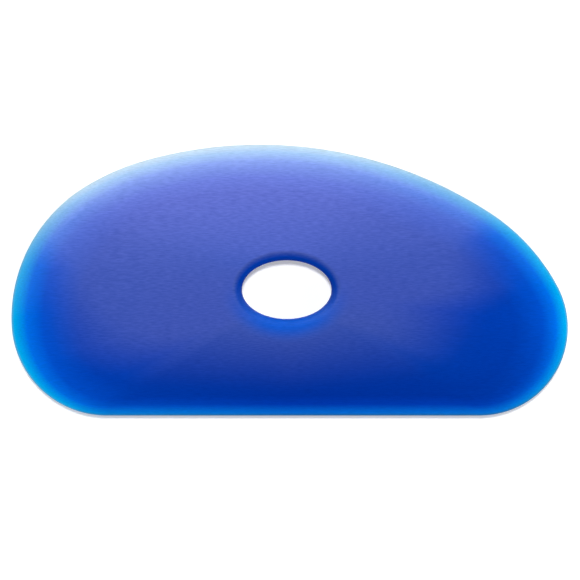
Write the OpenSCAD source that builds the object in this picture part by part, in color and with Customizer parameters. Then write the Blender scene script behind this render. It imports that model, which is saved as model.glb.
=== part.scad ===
// Pottery rib: one flexible blade, thick in the middle and thin all round its rim, with a
// straight long edge, a crowned long edge and an oval finger hole with rounded lips.
// It lies flat. +X runs along the straight edge, +Y towards the crowned edge and +Z up.
// The origin is on the table, under the middle of the overall box. Sizes are in millimetres.

/* [Blade] */
// Overall length, from end to end
blade_length = 152; // [146:1:158]
// Overall width, from the straight edge to the top of the crowned edge
blade_width = 74; // [71:0.5:78]
// Thickness of the flat land round the finger hole
blade_thickness = 6; // [5:0.25:8]
// Thickness of the rounded rim
rim_thickness = 1.2; // [0.8:0.1:2]
// How far each face bulges from the inner edge of the bevel up to the land
face_crown = 0.6; // [0.2:0.1:1.2]

/* [Bevel] */
// Width of the bevel along the straight edge
bevel_straight = 4; // [3:0.5:6]
// Width of the bevel along the crowned edge
bevel_crowned = 6.5; // [4:0.5:8]
// Width of the bevel round the left end
bevel_left = 7.5; // [4:0.5:10]
// Width of the bevel round the right end
bevel_right = 6; // [4:0.5:9]

/* [Outline] */
// Radius of the corner at the right end of the straight edge
right_corner_radius = 24; // [22:0.5:25.5]
// Radius of the corner at the left end of the straight edge
left_corner_radius = 26; // [24:0.5:28]
// Radius of the left shoulder, between the crown and the left end
left_shoulder_radius = 64; // [54:1:74]
// Direction in which the right corner passes into the right shoulder, in degrees from +X
right_corner_end = 28; // [24:1:32]
// Direction in which the right shoulder passes into the crown, in degrees from +X
crown_start = 57; // [55:1:60]
// Direction in which the crown passes into the left shoulder, in degrees from +X
crown_end = 106; // [102:1:110]
// Direction in which the left shoulder passes into the left end, in degrees from +X
left_end_start = 122; // [118:1:126]
// Direction in which the left end passes into the left corner, in degrees from +X
left_end_end = 182; // [180:1:187]

/* [Finger hole] */
// Length of the hole at its narrowest
hole_length = 24.5; // [20:0.5:30]
// Width of the hole at its narrowest
hole_width = 16; // [13:0.5:20]
// Distance of the hole's centre from the straight edge
hole_height = 34.4; // [33:0.1:37]
// Distance of the hole's centre from the left end
hole_inset = 75.2; // [70:0.2:82]
// Radius of the rounded lip on each face
lip_radius = 2.2; // [1:0.1:2.4]
// Width of the flat land outside the lip
land_width = 8.8; // [3:0.2:9.6]

/* [Hidden] */

// Longest facet along the outline's arcs, and along its straight edge
arc_facet = 4;
straight_facet = 8;
// Facets across one quarter of the lip
lip_steps = 4;
// Facets across the bevel, and across the bulged face inside it
bevel_steps = 4;
face_steps = 3;
// The rim is round up to this angle over the middle plane, with this many facets
rim_angle = 60;
rim_steps = 2;

half_thickness = blade_thickness / 2;
rim_radius = rim_thickness / 2;
hole_centre = [hole_inset - blade_length / 2, hole_height - blade_width / 2];
hole_axes = [hole_length / 2, hole_width / 2];
land_axes = hole_axes + (lip_radius + land_width) * [1, 1];
// Between its two lips the hole's wall is upright, up to this height over the middle plane
wall_height = half_thickness - lip_radius;

// An arc of radius 1 between two directions climbs this much
function climb(from, to) = sin(to) - sin(from);
// and runs this far towards the left end
function run(from, to) = cos(from) - cos(to);

// Three of the six radii follow from the overall sizes: both ends of the chain of arcs climb
// from the straight edge to the blade's full width, and together they run over its length.
shoulder_climb = climb(right_corner_end, crown_start);
left_end_climb = climb(left_end_end, left_end_start);
shoulder_base = (blade_width - right_corner_radius * climb(-90, right_corner_end)) / shoulder_climb;
shoulder_share = climb(crown_start, 90) / shoulder_climb;
left_end_base = (blade_width - left_shoulder_radius * climb(left_end_start, crown_end)
    - left_corner_radius * climb(270, left_end_end)) / left_end_climb;
left_end_share = climb(crown_end, 90) / left_end_climb;
shoulder_run = run(right_corner_end, crown_start);
left_end_run = run(left_end_start, 180);
crown_radius = (blade_length - right_corner_radius * run(0, right_corner_end)
    - shoulder_base * shoulder_run - left_shoulder_radius * run(crown_end, left_end_start)
    - left_end_base * left_end_run)
    / (run(crown_start, crown_end) - shoulder_share * shoulder_run - left_end_share * left_end_run);
right_shoulder_radius = shoulder_base - shoulder_share * crown_radius;
left_end_radius = left_end_base - left_end_share * crown_radius;

// The chain of tangent arcs, anticlockwise from the straight edge: radius, first and last
// direction. An arc is cut where the outline is furthest right, up or left, so that a point
// of the outline lies exactly there.
arcs = [
    [right_corner_radius, -90, 0],
    [right_corner_radius, 0, right_corner_end],
    [right_shoulder_radius, right_corner_end, crown_start],
    [crown_radius, crown_start, 90],
    [crown_radius, 90, crown_end],
    [left_shoulder_radius, crown_end, left_end_start],
    [left_end_radius, left_end_start, 180],
    [left_end_radius, 180, left_end_end],
    [left_corner_radius, left_end_end, 270]
];

function heading(angle) = [cos(angle), sin(angle)];

// Centre of each arc: it moves along the shared direction by the change of radius
first_centre = [blade_length / 2 - right_corner_radius, right_corner_radius - blade_width / 2];
function centre(i) = i == 0 ? first_centre
    : centre(i - 1) + (arcs[i - 1][0] - arcs[i][0]) * heading(arcs[i][1]);

// Outline points of one arc without its last one, each with its outward direction
function arc_points(i) =
    let (radius = arcs[i][0], from = arcs[i][1], turn = arcs[i][2] - from)
    let (steps = ceil(radius * turn * PI / 180 / arc_facet))
    [for (k = [0 : steps - 1])
        let (out = heading(from + turn * k / steps))
        [centre(i) + radius * out, out]];

// Points of the straight edge, from its left end to its right end
last_arc = len(arcs) - 1;
straight_start = centre(last_arc)[0];
straight_length = first_centre[0] - straight_start;
straight_steps = ceil(straight_length / straight_facet);
straight_points = [for (k = [0 : straight_steps - 1])
    [[straight_start + straight_length * k / straight_steps, -blade_width / 2], [0, -1]]];

outline = concat([for (i = [0 : last_arc]) each arc_points(i)], straight_points);

// The bevel's width blends from side to side with the outward direction
function bevel_width(out) =
    (out[0] > 0 ? bevel_right : bevel_left) * out[0] * out[0]
    + (out[1] > 0 ? bevel_crowned : bevel_straight) * out[1] * out[1];

// Distance from the centre of an oval to its edge, in a direction
function oval_radius(axes, way) = 1 / norm([way[0] / axes[0], way[1] / axes[1]]);

// A rise from 0 to 1 that starts steep and ends level
function ease(share) = 1 - (1 - share) ^ 2;

// The rim's round part ends this far inward and this far over the middle plane
round_depth = rim_radius * (1 - cos(rim_angle));
round_height = rim_radius * sin(rim_angle);
bevel_rise = half_thickness - round_height - face_crown;

// Height over the middle plane of a point between the rim's round part and the land, from its
// share of the way across the bevel and its share of the whole way
function face_height(bevel_share, share) =
    round_height + bevel_rise * ease(min(bevel_share, 1)) + face_crown * ease(share);

// The rim's round part at one outline point: place in plan and height over the middle plane
function rim_points(edge, way, slant) = [
    for (k = [0 : rim_steps - 1])
    let (angle = rim_angle * k / rim_steps)
    let (place = edge - rim_radius * (1 - cos(angle)) / slant * way)
    [place[0], place[1], rim_radius * sin(angle)]
];

// The bevel and the bulged face inside it, in a straight line towards the hole's centre
function face_points(edge, way, slant, bevel) =
    let (start = round_depth / slant)
    let (line = norm(edge - hole_centre) - oval_radius(land_axes, way) - start)
    let (across = bevel / slant - start)
    let (distances = concat(
        [for (k = [0 : bevel_steps]) across * k / bevel_steps],
        [for (k = [1 : face_steps]) across + (line - across) * k / face_steps]))
    [for (d = distances)
        let (place = edge - (start + d) * way)
        [place[0], place[1], face_height(d / across, d / line)]];

// The lip, which rounds down from the land to the upright wall, square to the oval, and the
// wall's middle
function lip_points(way) =
    let (place = oval_radius(hole_axes, way) * way)
    let (square_out = [place[0] / hole_axes[0] ^ 2, place[1] / hole_axes[1] ^ 2])
    let (out = square_out / norm(square_out))
    let (edge = hole_centre + place)
    concat(
        [for (k = [lip_steps : -1 : 0])
            let (angle = 90 * k / lip_steps)
            let (point = edge + lip_radius * (1 - cos(angle)) * out)
            [point[0], point[1], wall_height + lip_radius * sin(angle)]],
        [[edge[0], edge[1], 0]]);

// One slice through the upper half of the blade, from the rim to the hole
function slice(edge, out) =
    let (way = (edge - hole_centre) / norm(edge - hole_centre))
    let (slant = way * out)
    concat(
        rim_points(edge, way, slant),
        face_points(edge, way, slant, bevel_width(out)),
        lip_points(way));

slices = [for (point = outline) slice(point[0], point[1])];
turns = len(outline);
half_rings = len(slices[0]) - 1;
rings = 2 * half_rings;

// The blade is a closed skin of rings. They start at the rim's outermost line, pass over the
// upper face to the middle of the hole's wall, and come back under the lower face.
module rib() {
    points = [
        for (ring = [0 : rings - 1])
        for (i = [0 : turns - 1])
        let (upper = ring <= half_rings, step = upper ? ring : rings - ring)
        let (point = slices[i][step])
        [point[0], point[1], half_thickness + (upper ? point[2] : -point[2])]
    ];
    faces = [
        for (ring = [0 : rings - 1])
        for (i = [0 : turns - 1])
        let (next = (i + 1) % turns, here = ring * turns, inner = (ring + 1) % rings * turns)
        each [[here + i, inner + i, inner + next], [here + i, inner + next, here + next]]
    ];
    color("royalblue") polyhedron(points, faces);
}

rib();
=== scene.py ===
import math

import bpy
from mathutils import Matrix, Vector


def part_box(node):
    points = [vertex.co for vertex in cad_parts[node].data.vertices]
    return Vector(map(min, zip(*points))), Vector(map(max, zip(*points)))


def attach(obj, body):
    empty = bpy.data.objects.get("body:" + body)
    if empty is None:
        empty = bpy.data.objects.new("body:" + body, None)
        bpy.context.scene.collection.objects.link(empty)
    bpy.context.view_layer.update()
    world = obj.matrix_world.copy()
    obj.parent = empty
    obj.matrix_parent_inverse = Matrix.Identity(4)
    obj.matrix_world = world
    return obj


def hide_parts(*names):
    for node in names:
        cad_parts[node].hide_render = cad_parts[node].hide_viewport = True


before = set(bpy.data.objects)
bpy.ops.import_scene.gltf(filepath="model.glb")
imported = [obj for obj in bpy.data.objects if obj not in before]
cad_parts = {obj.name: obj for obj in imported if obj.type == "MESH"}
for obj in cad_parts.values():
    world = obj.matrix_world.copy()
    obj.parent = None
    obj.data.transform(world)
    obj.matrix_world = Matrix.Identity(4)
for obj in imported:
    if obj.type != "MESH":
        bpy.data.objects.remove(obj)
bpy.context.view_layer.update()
print("frame loaded, nodes:", sorted(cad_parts))

mm = 0.001


# The blade's own sizes. Its length, width and thickness come from the frame.
ribShape = {
    "rimThickness": 1.2 * mm,
    "faceCrown": 0.6 * mm,        # bulge of each face between bevel and land
    "bevelStraight": 4 * mm,
    "bevelCrowned": 6.5 * mm,
    "bevelLeft": 7.5 * mm,
    "bevelRight": 6 * mm,
    "rightCorner": 24 * mm,       # radii of the outline's chosen arcs
    "leftCorner": 26 * mm,
    "leftShoulder": 64 * mm,
    "rightCornerEnd": 28,         # directions in which one arc passes into the next
    "crownStart": 57,
    "crownEnd": 106,
    "leftEndStart": 122,
    "leftEndEnd": 182,
    "holeLength": 24.5 * mm,
    "holeWidth": 16 * mm,
    "holeHeight": 34.4 * mm,      # centre of the hole over the straight edge
    "holeInset": 75.2 * mm,       # and from the left end
    "lipRadius": 2.2 * mm,
    "landWidth": 8.8 * mm,
    "rimAngle": 60,               # the rim is round up to here
    "pointSpacing": 0.9 * mm,     # along the outline
    "rimSteps": 5,
    "bevelSteps": 14,
    "faceSteps": 12,
    "landSteps": 8,
    "landCrowding": 0.5,          # below 1 the land's rings crowd towards the lip
    "lipSteps": 12,
    "wallSteps": 2,
}


def heading(degrees):
    return Vector((math.cos(math.radians(degrees)), math.sin(math.radians(degrees))))


def climb(fromAngle, toAngle):
    return heading(toAngle).y - heading(fromAngle).y


def run(fromAngle, toAngle):
    return heading(fromAngle).x - heading(toAngle).x


# Radii of the tangent arcs, anticlockwise from the straight edge. Three of them follow from
# the blade's length and width.
def arcChain(shape, length, width):
    s = shape
    cornerEnd, crownStart, crownEnd = s["rightCornerEnd"], s["crownStart"], s["crownEnd"]
    endStart, endEnd = s["leftEndStart"], s["leftEndEnd"]
    shoulderClimb = climb(cornerEnd, crownStart)
    endClimb = climb(endEnd, endStart)
    shoulderBase = (width - s["rightCorner"] * climb(-90, cornerEnd)) / shoulderClimb
    shoulderShare = climb(crownStart, 90) / shoulderClimb
    endBase = (width - s["leftShoulder"] * climb(endStart, crownEnd)
               - s["leftCorner"] * climb(270, endEnd)) / endClimb
    endShare = climb(crownEnd, 90) / endClimb
    shoulderRun = run(cornerEnd, crownStart)
    endRun = run(endStart, 180)
    crown = (length - s["rightCorner"] * run(0, cornerEnd) - shoulderBase * shoulderRun
             - s["leftShoulder"] * run(crownEnd, endStart) - endBase * endRun)
    crown /= run(crownStart, crownEnd) - shoulderShare * shoulderRun - endShare * endRun
    return [
        (s["rightCorner"], -90, 0),
        (s["rightCorner"], 0, cornerEnd),
        (shoulderBase - shoulderShare * crown, cornerEnd, crownStart),
        (crown, crownStart, 90),
        (crown, 90, crownEnd),
        (s["leftShoulder"], crownEnd, endStart),
        (endBase - endShare * crown, endStart, 180),
        (endBase - endShare * crown, 180, endEnd),
        (s["leftCorner"], endEnd, 270),
    ]


# Points along the outline, each with its outward direction
def outlinePoints(shape, low, high):
    length, width = high.x - low.x, high.y - low.y
    arcs = arcChain(shape, length, width)
    radius = arcs[0][0]
    centre = Vector((high.x - radius, low.y + radius))
    straightEnd = centre.x
    points = []
    for nextRadius, start, end in arcs:
        centre = centre + (radius - nextRadius) * heading(start)
        radius = nextRadius
        steps = math.ceil(math.radians(end - start) * radius / shape["pointSpacing"])
        for k in range(steps):
            out = heading(start + (end - start) * k / steps)
            points.append((centre + radius * out, out))
    steps = math.ceil((straightEnd - centre.x) / shape["pointSpacing"])
    for k in range(steps):
        x = centre.x + (straightEnd - centre.x) * k / steps
        points.append((Vector((x, low.y)), Vector((0, -1))))
    return points


def ease(share):
    return 1 - (1 - share) ** 2


# How the blade looks round its outline. A side is a direction in degrees from +X, the part that
# the crowned edge's colours (with painted sheen) and then the straight edge's colours (with
# painted shade) have there, how many bevel widths from the rim the satin skin is rubbed bare,
# and how many from where it is whole.
sideLook = {
    "sides": [
        (-90, 0.0, 1.0, 1.2, 7.0),
        (-60, 0.0, 0.85, 4.0, 9.8),
        (-30, 0.0, 0.5, 4.2, 9.4),
        (0, 0.0, 0.0, 3.6, 8.8),
        (28, 0.0, 0.0, 1.2, 5.0),
        (48, 0.07, 0.0, 0.6, 2.6),
        (62, 0.34, 0.0, -1.0, 0.2),
        (78, 0.85, 0.0, -2.0, -1.0),
        (92, 1.0, 0.0, -2.0, -1.0),
        (108, 1.0, 0.0, -2.0, -1.0),
        (122, 0.85, 0.0, -2.0, -1.0),
        (140, 0.42, 0.0, -1.0, 0.3),
        (160, 0.09, 0.0, 0.5, 2.4),
        (180, 0.0, 0.0, 1.0, 3.7),
        (205, 0.0, 0.0, 1.2, 5.2),
        (235, 0.0, 0.2, 2.6, 8.4),
        (270, 0.0, 1.0, 1.2, 7.0),
    ],
    "lean": 3.5,                  # per metre of x: the straight edge turns to the corners' rows
    "lowMiddle": 0.2,             # where and how fast the lip's lower side passes into its upper
    "lowTurn": 0.8,
    "upperLipBare": 0.375,        # part of the upper lip, from the wall, that has no skin
    "lowLipSkin": 0.13,           # what is left of the skin on the lower side of the lip
    "lipFade": 4 * mm,            # width beside the lip over which the skin comes back
    "paintedLipLightWidth": 7 * mm,       # how far the painted light on the lip's lower side reaches from the hole
}


def smooth(share):
    share = min(max(share, 0), 1)
    return share * share * (3 - 2 * share)


def sideAt(edge, out):
    lean = sideLook["lean"] * max(-out.y, 0) * edge.x
    turn = (math.degrees(math.atan2(out.y, out.x + lean)) + 90) % 360 - 90
    for first, second in zip(sideLook["sides"], sideLook["sides"][1:]):
        if turn <= second[0]:
            part = (turn - first[0]) / (second[0] - first[0])
            return [a + (b - a) * part for a, b in zip(first[1:], second[1:])]


# One slice through the upper half, from the rim to the hole: place in plan, height over the
# middle plane, how many bevel widths the point lies inward from the rim, how whole its skin
# is, how much painted light from the lip's lower side it has, and how much painted shade of the
# upper lip
def slicePoints(shape, holeCentre, half, edge, out):
    rim = shape["rimThickness"] / 2
    side = shape["bevelRight"] if out.x > 0 else shape["bevelLeft"]
    longSide = shape["bevelCrowned"] if out.y > 0 else shape["bevelStraight"]
    bevelWidth = side * out.x ** 2 + longSide * out.y ** 2
    holeAxes = (shape["holeLength"] / 2, shape["holeWidth"] / 2)
    lip = shape["lipRadius"]
    way = (edge - holeCentre).normalized()
    slant = way.dot(out)
    bare, whole = sideAt(edge, out)[2:]

    def ovalRadius(extra):
        return 1 / math.hypot(way.x / (holeAxes[0] + extra), way.y / (holeAxes[1] + extra))

    onHole = ovalRadius(0) * way
    squareOut = Vector((onHole.x / holeAxes[0] ** 2, onHole.y / holeAxes[1] ** 2)).normalized()
    wallEdge = holeCentre + onHole
    lipEdge = wallEdge + lip * squareOut
    low = smooth(sideLook["lowMiddle"] - sideLook["lowTurn"] * way.y)   # 1 below the hole
    upperBare = sideLook["upperLipBare"]
    points = []

    def add(place, height, onLip=False):
        share = (edge - place).length * slant / bevelWidth
        fromLip = 0 if onLip else (place - lipEdge).length
        fromWall = (place - wallEdge).length
        worn = (1 - sideLook["lowLipSkin"]) * low * (1 - smooth(fromLip / sideLook["lipFade"]))
        skin = smooth((share - bare) / (whole - bare)) * (1 - worn)
        if low < 1:
            skin *= max(low, smooth((fromWall / lip - upperBare) / (1 - upperBare)))
        # painted light on the lip's lower side, which faces the lamps
        lipLightShare = low * smooth(1 - fromWall / sideLook["paintedLipLightWidth"])
        # the last entry is the painted shade on the upper lip
        points.append((place, height, share, skin, lipLightShare, (1 - low) * onLip))

    for k in range(shape["rimSteps"]):
        angle = math.radians(shape["rimAngle"] * k / shape["rimSteps"])
        add(edge - rim * (1 - math.cos(angle)) / slant * way, rim * math.sin(angle))
    roundDepth = rim * (1 - math.cos(math.radians(shape["rimAngle"])))
    roundHeight = rim * math.sin(math.radians(shape["rimAngle"]))
    bevelRise = half - roundHeight - shape["faceCrown"]
    start = roundDepth / slant
    line = (edge - holeCentre).length - ovalRadius(lip + shape["landWidth"]) - start
    across = bevelWidth / slant - start
    steps = [across * k / shape["bevelSteps"] for k in range(shape["bevelSteps"])]
    inner = shape["faceSteps"]
    steps += [across + (line - across) * k / inner for k in range(inner + 1)]
    for d in steps:
        height = roundHeight + bevelRise * ease(min(d / across, 1))
        add(edge - (start + d) * way, height + shape["faceCrown"] * ease(d / line))
    landEdge = points[-1][0]
    for k in range(1, shape["landSteps"]):
        add(landEdge.lerp(lipEdge, (k / shape["landSteps"]) ** shape["landCrowding"]), half)
    for k in range(shape["lipSteps"], -1, -1):
        angle = math.radians(90 * k / shape["lipSteps"])
        place = wallEdge + lip * (1 - math.cos(angle)) * squareOut
        add(place, half - lip + lip * math.sin(angle), True)
    for k in range(1, shape["wallSteps"] + 1):
        add(wallEdge, (half - lip) * (1 - k / shape["wallSteps"]), True)
    return points


def buildRib():
    low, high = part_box("rib")
    half = (high.z - low.z) / 2
    holeCentre = Vector((low.x + ribShape["holeInset"], low.y + ribShape["holeHeight"]))
    outline = outlinePoints(ribShape, low, high)
    slices = [slicePoints(ribShape, holeCentre, half, edge, out) for edge, out in outline]
    turns, depth = len(slices), len(slices[0]) - 1
    rings = 2 * depth
    sides = [sideAt(edge, out) for edge, out in outline]
    vertices, shares, skins, lipLightShares, crowned, straight = [], [], [], [], [], []
    for ring in range(rings):
        upper = ring <= depth
        for i in range(turns):
            place, height, share, skin, lipLightShare, upperLipShade = slices[i][ring if upper else rings - ring]
            vertices.append((place.x, place.y, low.z + half + (height if upper else -height)))
            shares.append(share)
            skins.append(skin)
            lipLightShares.append(lipLightShare)
            crowned.append(sides[i][0])
            # the straight edge's painted shade is also laid on the upper lip, which faces away
            # from the lamps
            straight.append(max(sides[i][1], upperLipShade))
    faces = []
    for ring in range(rings):
        here, inner = ring * turns, (ring + 1) % rings * turns
        for i in range(turns):
            after = (i + 1) % turns
            faces.append((here + i, here + after, inner + after, inner + i))
    mesh = bpy.data.meshes.new("rib")
    mesh.from_pydata(vertices, [], faces)
    mesh.validate()
    marks = {"bevelShare": shares, "skin": skins, "paintedLipLight": lipLightShares,
             "crowned": crowned, "straight": straight}
    for name, values in marks.items():
        mesh.attributes.new(name, "FLOAT", "POINT").data.foreach_set("value", values)
    mesh.shade_smooth()
    rib = bpy.data.objects.new("castRib", mesh)
    bpy.context.scene.collection.objects.link(rib)
    print("rib:", len(vertices), "points,", turns, "round the outline")
    return rib


# A socket that sums and products can be written with
class Wire:
    def __init__(self, shade, socket):
        self.shade, self.socket = shade, socket

    def math(self, operation, *values):
        sockets = dict(enumerate(values))
        return self.shade.node("ShaderNodeMath", {"operation": operation}, sockets)

    def __add__(self, other): return self.math("ADD", self, other)
    def __radd__(self, other): return self.math("ADD", other, self)
    def __sub__(self, other): return self.math("SUBTRACT", self, other)
    def __rsub__(self, other): return self.math("SUBTRACT", other, self)
    def __mul__(self, other): return self.math("MULTIPLY", self, other)
    def __rmul__(self, other): return self.math("MULTIPLY", other, self)
    def __truediv__(self, other): return self.math("DIVIDE", self, other)
    def __rtruediv__(self, other): return self.math("DIVIDE", other, self)


class Shade:
    def __init__(self, material):
        material.use_nodes = True
        self.tree = material.node_tree
        self.tree.nodes.clear()

    # Adds any node: its settings go first, then the values or links of its sockets
    def node(self, kind, settings=None, sockets=None, output=0):
        made = self.tree.nodes.new(kind)
        for name, value in (settings or {}).items():
            if name == "stops":
                self.fillRamp(made.color_ramp, value)
            else:
                setattr(made, name, value)
        for name, value in (sockets or {}).items():
            if isinstance(value, Wire):
                self.tree.links.new(value.socket, made.inputs[name])
            else:
                made.inputs[name].default_value = value
        return Wire(self, made.outputs[output]) if len(made.outputs) else made

    def fillRamp(self, ramp, stops):
        for k, (position, colour) in enumerate(stops):
            stop = ramp.elements[k] if k < 2 else ramp.elements.new(position)
            stop.position, stop.color = position, (*colour, 1)


# Colours are linear. The casting is a clear blue: the thinner it is, the paler. The crowned
# edge's ramp also holds painted sheen and painted light, and the straight edge's ramp painted
# shade.
# Each ramp runs from the rim inwards: bevel widths from the rim, and the colour there.
urethaneLook = {
    "endColours": [
        (0.00, (0.13, 0.43, 0.69)),
        (0.10, (0.0, 0.43, 0.87)),
        (0.60, (0.0, 0.15, 0.78)),
        (1.20, (0.0, 0.074, 0.57)),
        (2.50, (0.0, 0.045, 0.42)),
        (6.00, (0.0, 0.040, 0.40)),
    ],
    # Crowned edge: the thin edge's paleness plus painted sheen and painted light, as this edge
    # faces the lamps
    "crownedColoursWithSheen": [
        (0.00, (0.65, 0.84, 0.97)),
        (0.30, (0.32, 0.54, 0.87)),
        (0.70, (0.16, 0.28, 0.79)),
        (1.40, (0.081, 0.14, 0.66)),
        (2.00, (0.051, 0.094, 0.56)),
        (6.00, (0.0, 0.051, 0.45)),
    ],
    # Straight edge: painted shade, darker as this edge faces away from the lamps, with a painted
    # shadow at the rim; the lighter band just inside it is the thin urethane
    "straightColoursWithShade": [
        (0.00, (0.015, 0.12, 0.26)),
        (0.20, (0.0, 0.13, 0.62)),
        (0.80, (0.0, 0.035, 0.38)),
        (1.40, (0.0, 0.027, 0.30)),
        (6.00, (0.0, 0.040, 0.36)),
    ],
    "paintedLipLightColour": (0.001, 0.110, 0.690),   # painted light: a lighter blue round the lower side of the hole's lip, which faces the lamps
    "paintedSheenColour": (0.60, 0.62, 0.70),     # painted sheen: a pale tint where the skin is, standing in for part of its reflection
    "paintedSheenShare": 0.05,
    "bareRoughness": 0.5,
    "bareSpecular": 0.01,
    "skinRoughness": 0.33,
    "skinIor": 1.75,
    "skinWhole": 0.74,            # coat weight of whole skin
    "skinGrain": 1.2,             # how much the grain varies it
    "cloudSize": 14 * mm,
    "cloudDepth": 1.2,            # how patchy the skin is where it begins to rub off
    "noiseDetail": 2.0,
    "grainLength": 2.0 * mm,
    "grainWidth": 0.25 * mm,
    "grainHeight": 0.05 * mm,
    "grainShade": 0.4,            # how much the grain varies the colour
}


def castUrethane():
    material = bpy.data.materials.new("castUrethane")
    shade = Shade(material)
    look = urethaneLook

    def mark(name):
        return shade.node("ShaderNodeAttribute", {"attribute_name": name}, output="Fac")

    def thinToThick(listName):
        widest = look[listName][-1][0]
        stops = [(position / widest, colour) for position, colour in look[listName]]
        share = mark("bevelShare") / widest
        return shade.node("ShaderNodeValToRGB", {"stops": stops}, {"Fac": share})

    def blend(factor, first, second):
        return shade.node("ShaderNodeMix", {"data_type": "RGBA"},
                          {"Factor": factor, 6: first, 7: second}, 2)

    # Painted sheen and painted light towards the crowned edge
    colour = blend(mark("crowned"), thinToThick("endColours"), thinToThick("crownedColoursWithSheen"))
    # Painted shade along the straight edge, towards the lower corners and on the upper lip
    colour = blend(mark("straight"), colour, thinToThick("straightColoursWithShade"))
    # Painted light round the lower side of the hole's lip
    colour = blend(mark("paintedLipLight"), colour, (*look["paintedLipLightColour"], 1))
    place = shade.node("ShaderNodeTexCoord", output="Object")
    stretch = (1 / look["grainLength"], 1 / look["grainWidth"], 1 / look["grainWidth"])
    along = shade.node("ShaderNodeVectorMath", {"operation": "MULTIPLY"}, {0: place, 1: stretch})
    grain = shade.node("ShaderNodeTexNoise", {}, {
        "Vector": along, "Scale": 1.0, "Detail": look["noiseDetail"]})
    bump = shade.node("ShaderNodeBump", {},
                      {"Height": grain, "Distance": look["grainHeight"], "Strength": 1.0})
    cloud = shade.node("ShaderNodeTexNoise", {}, {
        "Vector": place, "Scale": 1 / look["cloudSize"], "Detail": look["noiseDetail"]})
    skin = mark("skin")
    # Painted sheen: a pale tint laid in where the skin is
    colour = blend(skin * look["paintedSheenShare"], colour, (*look["paintedSheenColour"], 1))
    colour = shade.node("ShaderNodeVectorMath", {"operation": "SCALE"},
                        {0: colour, "Scale": 1 + look["grainShade"] * (grain - 0.5)})
    patchy = 1 + look["cloudDepth"] * (cloud - 0.5) * (1 - skin)
    surface = shade.node("ShaderNodeBsdfPrincipled", {}, {
        "Base Color": colour, "Roughness": look["bareRoughness"],
        "Specular IOR Level": look["bareSpecular"], "Normal": bump,
        "Coat Weight": skin * patchy * (look["skinWhole"] + look["skinGrain"] * (grain - 0.5)),
        "Coat Roughness": look["skinRoughness"], "Coat IOR": look["skinIor"]})
    shade.node("ShaderNodeOutputMaterial", {}, {"Surface": surface})
    return material


floorLook = {
    "colour": (0.8, 0.8, 0.8),
    "lift": 0.36,                 # light added for the camera, so that paper reads as white
    "whiteFrom": 0.20,            # the paper turns plain white between these distances
    "whiteTo": 0.60,
    "radius": 5,
    "wallHeight": 0.9,
    "sides": 64,
    "drop": 0.02 * mm,            # gap under the blade
}


def whitePaper():
    material = bpy.data.materials.new("whitePaper")
    shade = Shade(material)
    seen = shade.node("ShaderNodeLightPath", output="Is Camera Ray")
    seen = seen + shade.node("ShaderNodeLightPath", output="Is Glossy Ray")
    seen = seen + shade.node("ShaderNodeLightPath", output="Is Transmission Ray")
    place = shade.node("ShaderNodeTexCoord", output="Object")
    away = shade.node("ShaderNodeVectorMath", {"operation": "LENGTH"}, {0: place}, "Value")
    far = shade.node("ShaderNodeMapRange", {"interpolation_type": "SMOOTHSTEP"}, {
        "Value": away, "From Min": floorLook["whiteFrom"], "From Max": floorLook["whiteTo"]})
    paper = shade.node("ShaderNodeBsdfDiffuse", {}, {"Color": (*floorLook["colour"], 1)})
    lift = shade.node("ShaderNodeEmission", {}, {"Strength": seen * floorLook["lift"]})
    white = shade.node("ShaderNodeEmission", {}, {"Strength": seen})
    lit = shade.node("ShaderNodeAddShader", {}, {0: paper, 1: lift})
    mixed = shade.node("ShaderNodeMixShader", {}, {0: far, 1: lit, 2: white})
    shade.node("ShaderNodeOutputMaterial", {}, {"Surface": mixed})
    return material


# A round sheet of paper whose edge turns up far away
def buildFloor():
    radius, sides, drop = floorLook["radius"], floorLook["sides"], -floorLook["drop"]
    ringSet = [(radius, drop), (radius, floorLook["wallHeight"])]
    vertices = [(0, 0, drop)]
    for reach, height in ringSet:
        for k in range(sides):
            way = heading(360 * k / sides)
            vertices.append((reach * way.x, reach * way.y, height))
    faces = []
    for k in range(sides):
        a, b = 1 + k, 1 + (k + 1) % sides
        faces.append((0, a, b))
        faces.append((a, a + sides, b + sides, b))
    mesh = bpy.data.meshes.new("paperFloor")
    mesh.from_pydata(vertices, [], faces)
    floor = bpy.data.objects.new("paperFloor", mesh)
    bpy.context.scene.collection.objects.link(floor)
    mesh.materials.append(whitePaper())


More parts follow.
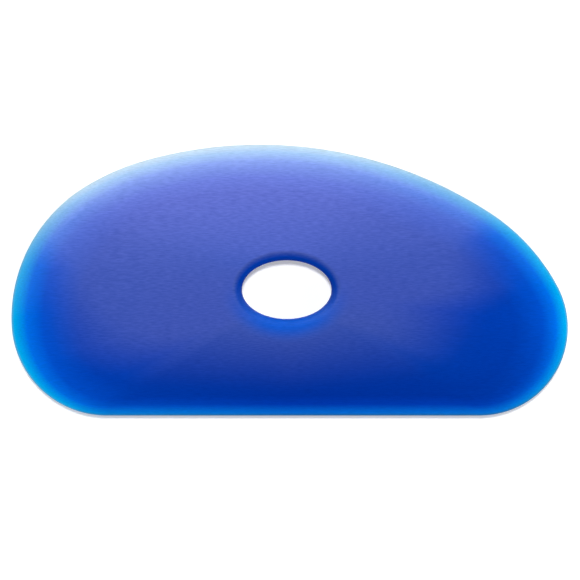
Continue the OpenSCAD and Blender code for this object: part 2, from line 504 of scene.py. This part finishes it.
# All lamps are aimed at the blade's middle. Three soft panels rise from behind the crowned edge
# to over the blade and make its sheen. A key lamp and three low panels light the matt colour.
lampSet = {
    "overheadPanel": {"place": (-0.02, 0.09, 0.34), "size": (0.19, 0.16), "radiance": 1.55,
                      "sheenOnly": True},
    "backPanel": {"place": (-0.06, 0.26, 0.24), "size": (0.44, 0.30), "radiance": 2.4,
                  "sheenOnly": True},
    "lowPanel": {"place": (-0.11, 0.45, 0.15), "size": (1.0, 0.54), "radiance": 0.45,
                 "sheenOnly": True},
    "keyLamp": {"place": (0, 0.265, 0.92), "size": (0.15, 0.15), "radiance": 101,
                "matteOnly": True},
    "frontPanel": {"place": (0.06, -0.42, 0.14), "size": (0.8, 0.24), "radiance": 2.4,
                   "matteOnly": True},
    "rightPanel": {"place": (0.40, 0.12, 0.16), "size": (0.3, 0.24), "radiance": 2.2,
                   "matteOnly": True},
    "leftPanel": {"place": (-0.42, 0.05, 0.16), "size": (0.3, 0.24), "radiance": 1.5,
                  "matteOnly": True},
}
roomLevel = 0.0


def addLamp(name):
    spec = lampSet[name]
    lamp = bpy.data.lights.new(name, "AREA")
    lamp.shape = "RECTANGLE"
    lamp.size, lamp.size_y = spec["size"]
    lamp.energy = spec["radiance"] * math.pi * lamp.size * lamp.size_y
    light = bpy.data.objects.new(name, lamp)
    light.location = spec["place"]
    light.rotation_euler = (-light.location).to_track_quat("-Z", "Y").to_euler()
    light.visible_glossy = not spec.get("matteOnly", False)
    light.visible_diffuse = not spec.get("sheenOnly", False)
    bpy.context.scene.collection.objects.link(light)


def addWorld(level):
    world = bpy.data.worlds.new("room")
    shade = Shade(world)
    sky = shade.node("ShaderNodeBackground", {}, {"Color": (1, 1, 1, 1), "Strength": level})
    shade.node("ShaderNodeOutputWorld", {}, {"Surface": sky})
    bpy.context.scene.world = world


cameraSet = {
    "centre": (0.1 * mm, -2.7 * mm),      # point of the blade in the middle of the picture
    "frameWidth": 158.45 * mm,            # what the picture takes in at the rim's height
    "lens": 110,
    "sensor": 36,
}


def addCamera(rimHeight):
    eye = bpy.data.cameras.new("camera")
    eye.lens, eye.sensor_width = cameraSet["lens"], cameraSet["sensor"]
    camera = bpy.data.objects.new("camera", eye)
    away = cameraSet["frameWidth"] * cameraSet["lens"] / cameraSet["sensor"]
    camera.location = (*cameraSet["centre"], rimHeight + away)
    bpy.context.scene.collection.objects.link(camera)
    bpy.context.scene.camera = camera


low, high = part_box("rib")
addCamera((low.z + high.z) / 2)
rib = buildRib()
rib.data.materials.append(castUrethane())
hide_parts("rib")
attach(rib, "root")
print("rib finished")

buildFloor()
for name in lampSet:
    addLamp(name)
addWorld(roomLevel)
bpy.context.scene.view_settings.view_transform = "Standard"
print("stage and lights set")
